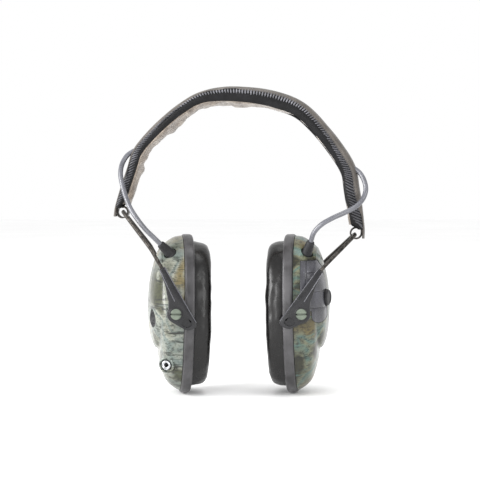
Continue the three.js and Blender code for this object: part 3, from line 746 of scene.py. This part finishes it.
def crumple(obj, amount, scale, seed, keep=None):
    """Moves points along their normals by smooth noise; keep gives each point's share of it."""
    points = [(v.co.copy(), v.normal.copy()) for v in obj.data.vertices]
    moved = []
    for point, normal in points:
        share = keep(point) if keep else 1.0
        value = noise.noise((point + Vector((seed, seed, seed))) * scale) * amount * MM * share
        moved += (point + normal * value)[:]
    obj.data.vertices.foreach_set("co", moved)
    obj.data.update()


def inflate(obj):
    """Blows a skin up with cloth simulation, and lets no point move further than the swell."""
    start = [v.co.copy() for v in obj.data.vertices]
    cloth = obj.modifiers.new("cloth", "CLOTH")
    cloth.settings.use_pressure = True
    cloth.settings.uniform_pressure_force = PRESSURE
    cloth.settings.effector_weights.gravity = 0
    cloth.settings.tension_stiffness = cloth.settings.compression_stiffness = STIFFNESS
    cloth.settings.quality = 5
    cloth.point_cache.frame_end = CLOTH_FRAMES
    scene = bpy.context.scene
    for number in range(1, CLOTH_FRAMES + 1):
        scene.frame_set(number)
    bake(obj)
    scene.frame_set(1)
    points = []
    for after, before in zip([v.co.copy() for v in obj.data.vertices], start):
        moved = after - before
        points += (before + moved * min(1, SWELL * MM / max(moved.length, 1e-9)))[:]
    obj.data.vertices.foreach_set("co", points)


def puff(obj):
    modifier = obj.modifiers.new("voxels", "REMESH")
    modifier.mode, modifier.voxel_size = "VOXEL", VOXEL_SIZE * MM
    bake(obj)
    inflate(obj)
    modifier = obj.modifiers.new("finer", "SUBSURF")
    modifier.levels = 1
    bake(obj)


def cushion_section(back, face):
    """Full and crowned towards the ear, and drawn out behind the rim, where it is cut flat."""
    return [(0.6, back + 5), (EAR_INSET - 2, back + 5), (EAR_INSET, back - 2.4),
            (EAR_INSET + 0.3, face + 5), (EAR_INSET - 2.2, face + 0.9), (EAR_INSET - 6, face),
            (7.6, face), (4.4, face + 0.8), (2.1, face + 2.6), (0.9, face + 5.4), (0.3, face + 9),
            (0, face + 13), (0, back)]


def add_cushion(name):
    place = PLACES[name]["housing"]
    back = RIM_INNER_X - GAP
    cushion = make_object(f"{name}_ear_cushion", oval_frame(
        CUSHION_HALF_HEIGHT - 0.2, CUSHION_HALF_WIDTH - 0.2,
        rounded(cushion_section(back, CUSHION_FACE_X), 2)), place)
    puff(cushion)
    carve(cushion, make_tool(box_shape((20, 200, 200), (back + 10, 0, 0)), place))

    def looseness(point):
        return min(max((back - place.local(point / MM).x) / TUCK_IN, 0), 1)

    crumple(cushion, 0.8, 26, seed=0.4 * place.sign, keep=looseness)
    crumple(cushion, 0.4, 120, seed=2.0, keep=looseness)
    dress(cushion, CUSHION_VINYL, f"{name}_cup", "cushion_vinyl", [f"{name}_cushion"], SOFT_EDGE)


def add_rim(name):
    outer, inner = RIM_OUTER_X, RIM_INNER_X
    section = [(0.9, outer), (0, outer - 1), (0, inner + 1.6), (0.5, inner + 0.5), (1.6, inner),
               (12, inner), (12, inner + 2), (4, inner + 2), (4, outer)]
    rim = oval_frame(RIM_HALF_HEIGHT, RIM_HALF_WIDTH, rounded(section, 2, 0.16))
    add_piece(f"{name}_cup_rim", rim, PLACES[name]["housing"],
              RIM_PLASTIC, f"{name}_cup", "black_plastic", [f"{name}_rim"], 50)


# --- Shells

MICROPHONE = {  # place, facing and radius
    "left": (Vector((14, -21.6, -5)), Vector((0.93, -0.37, 0)), 6.2),
    "right": (Vector((3.2, -38.2, 15)), Vector((0.13, -0.99, 0.06)), 3.2),
}
DOOR_X, DOOR_FRONT_Y, DOOR_CENTRE_Z = 11.8, -11, 5
KNOB_AT, KNOB_FACING = Vector((15.4, -18.9, 9.5)), Vector((0.96, -0.28, 0)).normalized()
KNOB_RECESS_RADIUS, KNOB_SHAFT_HOLE = 6, 1.9
PANEL_SINK = Vector((-0.7, 1, 0))  # from the face of the side panel to its back
PANEL_BACK_Y = -14.5
JACK_AT, JACK_FACING = Vector((4, -29.5, -37)), Vector((0.5, -0.86, -0.1))
JACK_BOSS_PROFILE = [(5.9, -6), (5.9, 1.1), (5.6, 1.6), (5, 1.8)]
JACK_HOLE_RADIUS, JACK_MOUTH_RADIUS = 3.8, 4.5
BOOT_HOLE_RADIUS = 4.6
END_WALL = 0.9  # thickness of the shell's outer end as a share of its side walls


def shell_shape(inset=0.0, start_x=None, count=OVAL_STEPS):
    """The outside of a shell, or with an inset its hollow, which starts further in at start_x."""
    rings = []
    for distance, low, high, half_width in catmull([Vector(level) for level in SHELL_LEVELS], 5):
        lateral = min(inset, half_width - 2)
        rings.append(oval(
            RIM_OUTER_X + GAP + distance - (inset * END_WALL if distance > 0 else 0), (low + high) / 2,
            max((high - low) / 2 - lateral, 1.5), half_width - lateral, count))
    if start_x is not None:
        for p in rings[0]:
            p.x = start_x
    return loft(rings)


def rod(place, radius, start, end, point, direction):
    """A round tool between two distances from a point along a direction."""
    return make_tool(lathe([(radius, start), (radius, end)], point, direction, 32), place)


def hollow(place):
    return make_tool(shell_shape(WALL, RIM_OUTER_X - 1, 48), place)


def door_zone(gap=0.0):
    """The box that parts the door from the shell, larger by a gap on the sides that meet it."""
    depth, width, height = 30, 60, 90
    centre = (DOOR_X + depth / 2 - gap, DOOR_FRONT_Y + width / 2 - gap, DOOR_CENTRE_Z)
    return make_tool(box_shape((depth, width, height), centre), RIGHT_HOUSING)


def lead_line(name):
    """Where the lead comes out of the boot, and its direction, in the housing's millimetres."""
    place = PLACES[name]["housing"]
    first, second = [place.local(p) for p in SIDES[name]["lead"][:2]]
    return first, second - first


def add_jack_boss(shell):
    carve(shell, make_tool(lathe(JACK_BOSS_PROFILE, JACK_AT, JACK_FACING), LEFT_HOUSING), "UNION")
    carve(shell, rod(LEFT_HOUSING, JACK_HOLE_RADIUS, -9, 4, JACK_AT, JACK_FACING))
    carve(shell, rod(LEFT_HOUSING, JACK_MOUTH_RADIUS, 0.4, 4, JACK_AT, JACK_FACING))


def cut_for_controls(shell):
    """Makes room for the side panel, the volume knob and the battery door."""
    recess = panel_block(panel_outline(GAP), PANEL_BACK_Y + GAP)
    carve(recess, sunk_shape(1 + GAP))
    carve(shell, recess)
    carve(shell, rod(RIGHT_HOUSING, KNOB_RECESS_RADIUS, -1, 8, KNOB_AT, KNOB_FACING))
    carve(shell, rod(RIGHT_HOUSING, KNOB_SHAFT_HOLE, -9, 4, KNOB_AT, KNOB_FACING))
    carve(shell, door_zone(GAP))


def add_shell(name):
    place = PLACES[name]["housing"]
    shell = make_object(f"{name}_cup_shell", shell_shape(), place)
    carve(shell, hollow(place))
    at, facing, radius = MICROPHONE[name]
    carve(shell, rod(place, radius + GAP, -7, 6, at, facing))
    carve(shell, rod(place, BOOT_HOLE_RADIUS, -14, 4, *lead_line(name)))
    if name == "left":
        add_jack_boss(shell)
    else:
        cut_for_controls(shell)
    dress(shell, CAMO[name], f"{name}_cup", "camouflage_shell", [f"{name}_shell"], HARD_EDGE)


def panel_outline(grow):
    """The panel's edge in x and z, moved out by a little for its recess."""
    return [(-1.4 - grow, 36 + grow), (-1.4 - grow, 10), (6.2 - grow, 1),
            *arc((10.9, -2.6), 4.7 + grow, 180, 360, 24), (15.6 + grow, 18), (12.5 + grow, 31),
            (9.7 + grow, 36 + grow)]


def panel_block(outline, back=PANEL_BACK_Y):
    return make_tool(prism(outline, -60, back), RIGHT_HOUSING)


def sunk_shape(share):
    """Tool with the form of the shell, moved in by a share of the panel's thickness."""
    points, faces = shell_shape()
    return make_tool(([p + PANEL_SINK * share for p in points], faces), RIGHT_HOUSING)


PANEL_GROOVES = [  # left, right, lowest and highest edge
    (2.2, 2.9, 5.03, 40), (2.5, 22, 27.3, 28), (2.4, 22.1, 14.2, 14.9), (5, 22.2, 2.9, 3.6),
]


def add_side_panel():
    """Rubbery panel, parted by grooves into a strip, tiles and a pad."""
    panel = make_object("right_side_panel", shell_shape(), RIGHT_HOUSING)
    carve(panel, panel_block(panel_outline(0)), "INTERSECT")
    carve(panel, sunk_shape(1))
    at, facing, radius = MICROPHONE["right"]
    carve(panel, rod(RIGHT_HOUSING, radius + GAP, -7, 6, at, facing))
    carve(panel, rod(RIGHT_HOUSING, KNOB_RECESS_RADIUS + GAP, -4, 8, KNOB_AT, KNOB_FACING))
    for left, right, low, high in PANEL_GROOVES:
        groove = panel_block([(left, low), (right, low), (right, high), (left, high)])
        carve(groove, sunk_shape(0.5))
        carve(panel, groove)
    bevel(panel, 0.22)
    dress(panel, PANEL_PLASTIC, "right_cup", "black_plastic", ["side_panel"], HARD_EDGE)


def add_door():
    door = make_object("battery_door_cover", shell_shape(), RIGHT_HOUSING)
    carve(door, hollow(RIGHT_HOUSING))
    carve(door, door_zone(), "INTERSECT")
    dress(door, CAMO["right"], "battery_door", "camouflage_shell", ["battery_door"], HARD_EDGE)


POST_PROFILE = [  # radius, and distance from the middle of the cup
    (4.2, 36.5), (4.2, ARM_INNER_Y - 0.4), (3.1, ARM_INNER_Y - 0.3), (3.1, 47.7), (3.8, 47.8),
    (3.8, 48.2), (3.4, POST_HEAD_Y),
]
SLOT_SIZE = (9, 4, 1.3)
SLOT_DEPTH = 1.6


def add_posts(name):
    place = PLACES[name]["cup"]
    slot_y = POST_HEAD_Y + SLOT_SIZE[1] / 2 - SLOT_DEPTH
    for end, towards in ENDS:
        post = make_object(f"{name}_{end}_post", lathe(POST_PROFILE, (0, 0, 0), (0, towards, 0)), place)
        carve(post, make_tool(box_shape(SLOT_SIZE, (0, towards * slot_y, 0)), place))
        dress(post, POST_PLASTIC, f"{name}_cup", "camouflage_shell", (), HARD_EDGE)


# --- Small pieces of the cups

GRILLE_PROFILE = [  # share of the microphone's radius, and distance out of the shell
    (1, -2.0), (1, -0.5), (0.95, -0.1), (0.8, 0), (0.72, -0.3), (0.62, -0.8), (0.55, -0.8),
    (0.48, -0.5), (0.34, -0.5), (0.28, -0.8), (0.1, -0.8),
]
SLEEVE_SECTION = [(1.75, -5), (3.5, -5), (3.5, 1.5), (3.2, 1.9), (2.6, 2), (2.2, 1.5), (1.75, 1.4)]
KNOB_PROFILE = [
    (1.9, 1.6), (1.9, -0.6), (5.6, -0.6), (5.6, 1.6), (5.3, 2.1), (4.8, 2.4), (3.9, 2.4), (3.6, 2.1),
]
KNOB_GRIPS, GRIPS_RADIUS = 24, 5.45
GRIP = [(-0.4, 0.36), (0.4, 0.36), (1.2, 0.36), (1.7, 0.15)]  # distance along the knob, radius


def add_microphone_grille(name):
    at, facing, radius = MICROPHONE[name]
    profile = [(radius * share, distance) for share, distance in GRILLE_PROFILE]
    add_piece(f"{name}_microphone_grille", lathe(profile, at, facing), PLACES[name]["housing"],
              PLASTIC, f"{name}_cup", "black_plastic", [f"{name}_microphone_cover"])


def add_jack_sleeve():
    add_piece("jack_sleeve", lathe_ring(SLEEVE_SECTION, JACK_AT, JACK_FACING), LEFT_HOUSING,
              CHROME, "left_cup", "bright_metal", ["jack_bushing"])


def add_knob():
    up = KNOB_FACING.cross(Vector((0, 0, 1))).normalized()
    side = KNOB_FACING.cross(up)
    grips = [tube([foot + KNOB_FACING * t for t, _ in GRIP], [r for _, r in GRIP], 8)
             for foot in circle(KNOB_AT, up, side, GRIPS_RADIUS, KNOB_GRIPS)]
    wheel = together(lathe(KNOB_PROFILE, KNOB_AT, KNOB_FACING, 48), *grips)
    add_piece("volume_knob_wheel", wheel, RIGHT_HOUSING,
              PLASTIC, "volume_knob", "black_plastic", ["volume_knob"], HARD_EDGE)


# --- Yoke wires and arms

WIRE_SECTIONS = 220
POCKET = [(-6.6, -12.4), (-1.6, -12.2), (0.6, -8.6), (-1, -6.4), (-4.4, -5.4), (-6.8, -8.6)]
POCKET_DEPTH = 1.6
POST_BORE_RADIUS, CHANNEL_RADIUS = 3.5, 1.65
FLANGE = [(-9.45, ARM_TOP - 0.4), (-9.45, -12), (-9, -12), (-9, ARM_TOP - 0.4)]
RIDGE = [(-5.6, ARM_TOP - 0.6), (-3.9, 8), (-3.4, 8), (-5, ARM_TOP - 0.6)]
COLLAR_SECTION = [(radius, ARM_OUTER_Y + rise) for radius, rise in (
    (3.55, -1), (4.9, -1), (4.9, 0.1), (4.6, 0.35), (3.8, 0.35), (3.55, 0.1))]


def wire_half(side, post):
    """Route of the front half of a wire, from its lower end to the middle of the loop."""
    lean = math.radians(side["lean"])
    along = Vector((math.sin(lean), 0, math.cos(lean)))
    across = Vector((math.cos(lean), 0, -math.sin(lean)))

    def on_leg(distance):
        p = post + along * (distance + side["drawn_out"]) + across * CHANNEL_P
        return Vector((p.x, -LEG_Y, p.z))

    bar_x, bar_z = side["bar"]
    kink = on_leg(KINK)
    corner = Vector((bar_x, -BAR_HALF_LENGTH - 3, bar_z))
    down = (kink - corner).normalized()
    eased = corner + down * 1.6
    return [
        on_leg(LEG_BOTTOM), on_leg(5), on_leg(20), on_leg(KINK - 4), on_leg(KINK - 1),
        kink.lerp(corner, 0.08), kink.lerp(corner, 0.5), corner + down * 6,
        Vector((eased.x, corner.y + 0.4, eased.z)), Vector((bar_x, -BAR_HALF_LENGTH + 1.5, bar_z)),
        Vector((bar_x, -BAR_HALF_LENGTH / 2, bar_z)),
    ]


def add_wire(name):
    places = PLACES[name]
    front = wire_half(SIDES[name], places["post_from_hinge"])
    back = [Vector((p.x, -p.y, p.z)) for p in reversed(front)]
    route = Path(front + back)
    bent_rod = tube(route.stretch(0, route.length, WIRE_SECTIONS), WIRE_RADIUS, 14)
    add_piece(f"{name}_wire_yoke", bent_rod, places["yoke"],
              STEEL, f"{name}_yoke", "dark_steel", [f"{name}_yoke_wire"])


def quadratic(a, b, c, count=6):
    """Points of a curve from a to c that heads for b."""
    return [tuple((1 - t) ** 2 * p + 2 * t * (1 - t) * q + t * t * r for p, q, r in zip(a, b, c))
            for t in (i / count for i in range(1, count + 1))]


def arm_outline():
    return [(-9.6, ARM_TOP), (-9.6, -11.6), *quadratic((-9.6, -11.6), (-9.6, -14.3), (-7.2, -14.7)),
            *quadratic((-7.2, -14.7), (-3.4, -15.2), (-0.4, -13)), (5.4, -3),
            *arc((0, 0), 6.2, -25, 60, 14), (0.3, 10), (-3.4, 21.3), (-5, ARM_TOP)]


def arm_slab(outline, towards, start, end):
    """An outline made thick between two distances from the middle of the cup."""
    return prism(outline, *sorted((towards * start, towards * end)))


def add_arm(name, end, towards):
    place = PLACES[name]["arms"]
    arm = make_object(
        f"{name}_{end}_yoke_arm", arm_slab(arm_outline(), towards, ARM_INNER_Y, ARM_OUTER_Y), place)
    bevel(arm, 0.7, 3)
    pocket = arm_slab(rounded(POCKET, 2), towards, ARM_OUTER_Y - POCKET_DEPTH, ARM_OUTER_Y + 1)
    carve(arm, make_tool(pocket, place))
    carve(arm, rod(place, POST_BORE_RADIUS, 30, 60, (0, 0, 0), (0, towards, 0)))
    carve(arm, rod(place, CHANNEL_RADIUS, LEG_BOTTOM - 1.2, ARM_TOP + 3,
                   (CHANNEL_P, towards * LEG_Y, 0), (0, 0, 1)))
    dress(arm, ARM_PLASTIC, f"{name}_arms", "black_plastic", [f"{name}_{end}_arm"], HARD_EDGE)


def add_arm_trim(name, end, towards):
    """The flange and ridge along an arm, lighter than the arm as a painted highlight, and the collar
    around its post.
    """
    place = PLACES[name]["arms"]
    strips = together(arm_slab(FLANGE, towards, ARM_OUTER_Y - 1, ARM_OUTER_Y + 0.3),
                      arm_slab(RIDGE, towards, ARM_OUTER_Y - 1, ARM_OUTER_Y + 0.25))
    trim = make_object(f"{name}_{end}_arm_trim", strips, place)
    bevel(trim, 0.2)
    dress(trim, PAINTED_HIGHLIGHT_TRIM, f"{name}_arms", "black_plastic", (), HARD_EDGE)
    collar = lathe_ring(COLLAR_SECTION, (0, 0, 0), (0, towards, 0))
    add_piece(f"{name}_{end}_arm_collar", collar, place,
              PLASTIC, f"{name}_arms", "black_plastic", (), HARD_EDGE)


# --- Headband

# Side wall, by share of the way from the left end, -1, to the right end, 1
WALL_DEPTH = [  # how far the wall reaches down the band
    (-1, 1.6), (-0.95, 5), (-0.9, 7.4), (-0.5, 7.9), (-0.3, 8.4), (-0.1, 11), (0.15, 12.4),
    (0.3, 11.4), (0.5, 11.1), (0.8, 11), (0.93, 9.6), (0.95, 5), (1, 1.6),
]
WALL_TOP = [  # where it starts under the outer face, which shows above it
    (-1, 0.6), (-0.9, 1.2), (-0.5, 2.2), (0, 1.9), (0.3, 2.5), (0.55, 4), (0.75, 3.4), (0.9, 1.4),
    (1, 0.6),
]
WALL_END, WALL_STEPS = 0.955, 170
RIBS, RIBS_END = 136, 0.95
RIB_REACH = [  # share of the wall's depth that the ribs cover
    (-1, 0.85), (-0.72, 0.82), (-0.5, 0.45), (0.25, 0.52), (0.45, 0.55), (0.7, 0.92), (1, 0.92),
]
RIB_UNEVENNESS = 0.05
RIB_LEAN = [(0, 0), (0.3, 0.006), (0.6, 0.03), (1, 0.03)]  # by share of the way from the crown
RIB_RADII = [0.15, 0.5, 0.62, 0.62, 0.5, 0.15]
RIB_RISE = 0.4
# The ribs between these shares get the crown's stronger painted highlight
CROWN_MIDDLE, CROWN_REACH = -0.02, 0.34
SPRING_SECTION = [  # y, and share of the half thickness
    (-4.6, 1), (4.6, 1), (5, 0.6), (5, -0.6), (4.6, -1), (-4.6, -1), (-5, -0.6), (-5, 0.6),
]


def both_halves(half):
    return half + [(-y, depth) for y, depth in reversed(half) if y != 0]


def shares(end, steps):
    """Even shares along the band from -end to end."""
    return [end * (2 * i / steps - 1) for i in range(steps + 1)]


def band_sweep(end, steps, section):
    """A shape along the band from sections of (y, depth)."""
    return loft([[band_point(s, depth, y) for y, depth in section(abs(s))]
                 for s in shares(end, steps)])


def cover_section(share):
    w, d = value_at(BAND_HALF_WIDTH, share), value_at(COVER_DEPTH, share)
    outside = [(0, -0.3), (0.3 * w, -0.15), (0.6 * w, 0.3), (0.82 * w, 0.9), (w - 0.9, min(1.9, 0.4 * d)),
               (w - 0.1, min(3.2, 0.6 * d)), (w, min(4.4, 0.8 * d)), (w - 0.2, d)]
    inside = [(w - 1.6, d), (w - 2, min(2.6, 0.7 * d)), (w - 4, min(1.3, 0.6 * d))]
    return both_halves(outside + inside)


def lining_section(share):
    w, d = value_at(BAND_HALF_WIDTH, share), value_at(COVER_DEPTH, share)
    thick = value_at(BAND_THICKNESS, share) - 0.4
    return both_halves([
        (0, thick + 0.2), (0.3 * w, thick + 0.1), (0.6 * w, thick - 0.3), (0.82 * w, thick - 0.9),
        (w - 0.9, thick - 2), (w - 0.4, d + 1.4), (w - 0.6, d - 0.4), (w - 2.2, d - 1.2)])


def lining_slack(point):
    """Hardly any at the side walls, and less on the right, where the lining is drawn tight."""
    local = BAND.local(point / MM)
    slack = min(max((30 - local.x) / 40, 0), 1)
    half_width = value_at([(0, 17), (50, 17), (84, 10)], abs(local.x))
    return (0.4 + 0.6 * slack) * min(max((half_width - 1 - abs(local.y)) / 4, 0.1), 1)


def add_cover():
    cover = make_object("headband_outer_cover", band_sweep(1, 160, cover_section), BAND)
    crumple(cover, 0.35, 60, seed=1.0)
    dress(cover, BAND_VINYL, "headband", "band_vinyl", ["headband_cover"], 50)


def add_lining():
    lining = make_object("headband_inner_lining", band_sweep(LINING_END, 150, lining_section), BAND)
    crumple(lining, 3.4, 85, seed=5.0, keep=lining_slack)
    crumple(lining, 0.9, 190, seed=5.0, keep=lining_slack)
    dress(lining, LINING, "headband", "band_lining", ["headband_lining"], SOFT_EDGE)


def add_side_wall(end, towards):
    rings = []
    for share in shares(WALL_END, WALL_STEPS):
        w, d = value_at(BAND_HALF_WIDTH, abs(share)), value_at(WALL_DEPTH, share)
        top = min(value_at(WALL_TOP, share), 0.3 * d)
        section = [(w - 0.9, top), (w + 0.25, top + 0.15 * d), (w + 0.5, 0.6 * d), (w + 0.3, d - 0.8),
                   (w - 0.4, d), (w - 1.6, d - 0.3), (w - 1.5, 0.5 * d)]
        rings.append([band_point(share, depth, towards * y) for y, depth in section])
    add_piece(f"headband_{end}_side", loft(rings), BAND, SIDE_VINYL, "headband", "band_vinyl", (), 50)


def rib(share, towards):
    w, d = value_at(BAND_HALF_WIDTH, abs(share)), value_at(WALL_DEPTH, share)
    lean = value_at(RIB_LEAN, abs(share)) * (1 if share > 0 else -1)
    low = min(value_at(WALL_TOP, share) + 0.4, 0.4 * d)
    uneven = RIB_UNEVENNESS * noise.noise((share * 90, 0, 0))
    high = (value_at(RIB_REACH, share) + uneven) * d
    route = [band_point(share - lean * t, low + (high - low) * t,
                        towards * (w + 0.35 + RIB_RISE * math.sin(math.pi * t)))
             for t in (0, 0.2, 0.4, 0.6, 0.8, 1)]
    return tube(route, RIB_RADII, 8)


def add_ribs(end, towards):
    """The stitched row of slanting ribs, coloured lighter than the side wall as a painted highlight that
    is stronger at the crown.
    """
    ribs = {"crown": [], "slope": []}
    for share in shares(RIBS_END, RIBS - 1):
        zone = "crown" if abs(share - CROWN_MIDDLE) < CROWN_REACH else "slope"
        ribs[zone].append(rib(share, towards))
    for zone, tubes in ribs.items():
        add_piece(f"headband_{end}_{zone}_ribs", together(*tubes), BAND,
                  RIB_PAINTED_HIGHLIGHT[zone], "headband", "band_vinyl", (), SOFT_EDGE)


def add_spring():
    """The steel band, whose ends curl into the loops that hold the wires."""
    strip = [band_point(share, value_at(SPRING_DEPTH, abs(share)), 0)
             for share in shares(SPRING_END, 90)]
    curl = [Vector((LOOP_X + LOOP_RADIUS * math.cos(a), 0, LOOP_RADIUS * math.sin(a)))
            for a in (math.radians(LOOP_TURN * i / 40) for i in range(41))]
    line = [Vector((-p.x, 0, p.z)) for p in reversed(curl)] + strip + curl
    rings = []
    for p, along in zip(line, directions(line)):
        out = Vector((-along.z, 0, along.x)) * SPRING_HALF_THICKNESS
        rings.append([p + out * share + Vector((0, y, 0)) for y, share in SPRING_SECTION])
    add_piece("headband_spring", loft(rings), BAND, STEEL, "headband", "dark_steel", ["spring_band"])


# --- The scene

add_camera()
add_floor()
add_lights()
dress_carried_nodes()
add_leads()
add_boots()
for side_name in SIDES:
    add_shell(side_name)
    add_rim(side_name)
    add_cushion(side_name)
    add_posts(side_name)
    add_wire(side_name)
    for end_name, y_sign in ENDS:
        add_arm(side_name, end_name, y_sign)
        add_arm_trim(side_name, end_name, y_sign)
add_side_panel()
add_door()
for side_name in SIDES:
    add_microphone_grille(side_name)
add_jack_sleeve()
add_knob()
add_cover()
add_lining()
for end_name, y_sign in ENDS:
    add_side_wall(end_name, y_sign)
    add_ribs(end_name, y_sign)
add_spring()
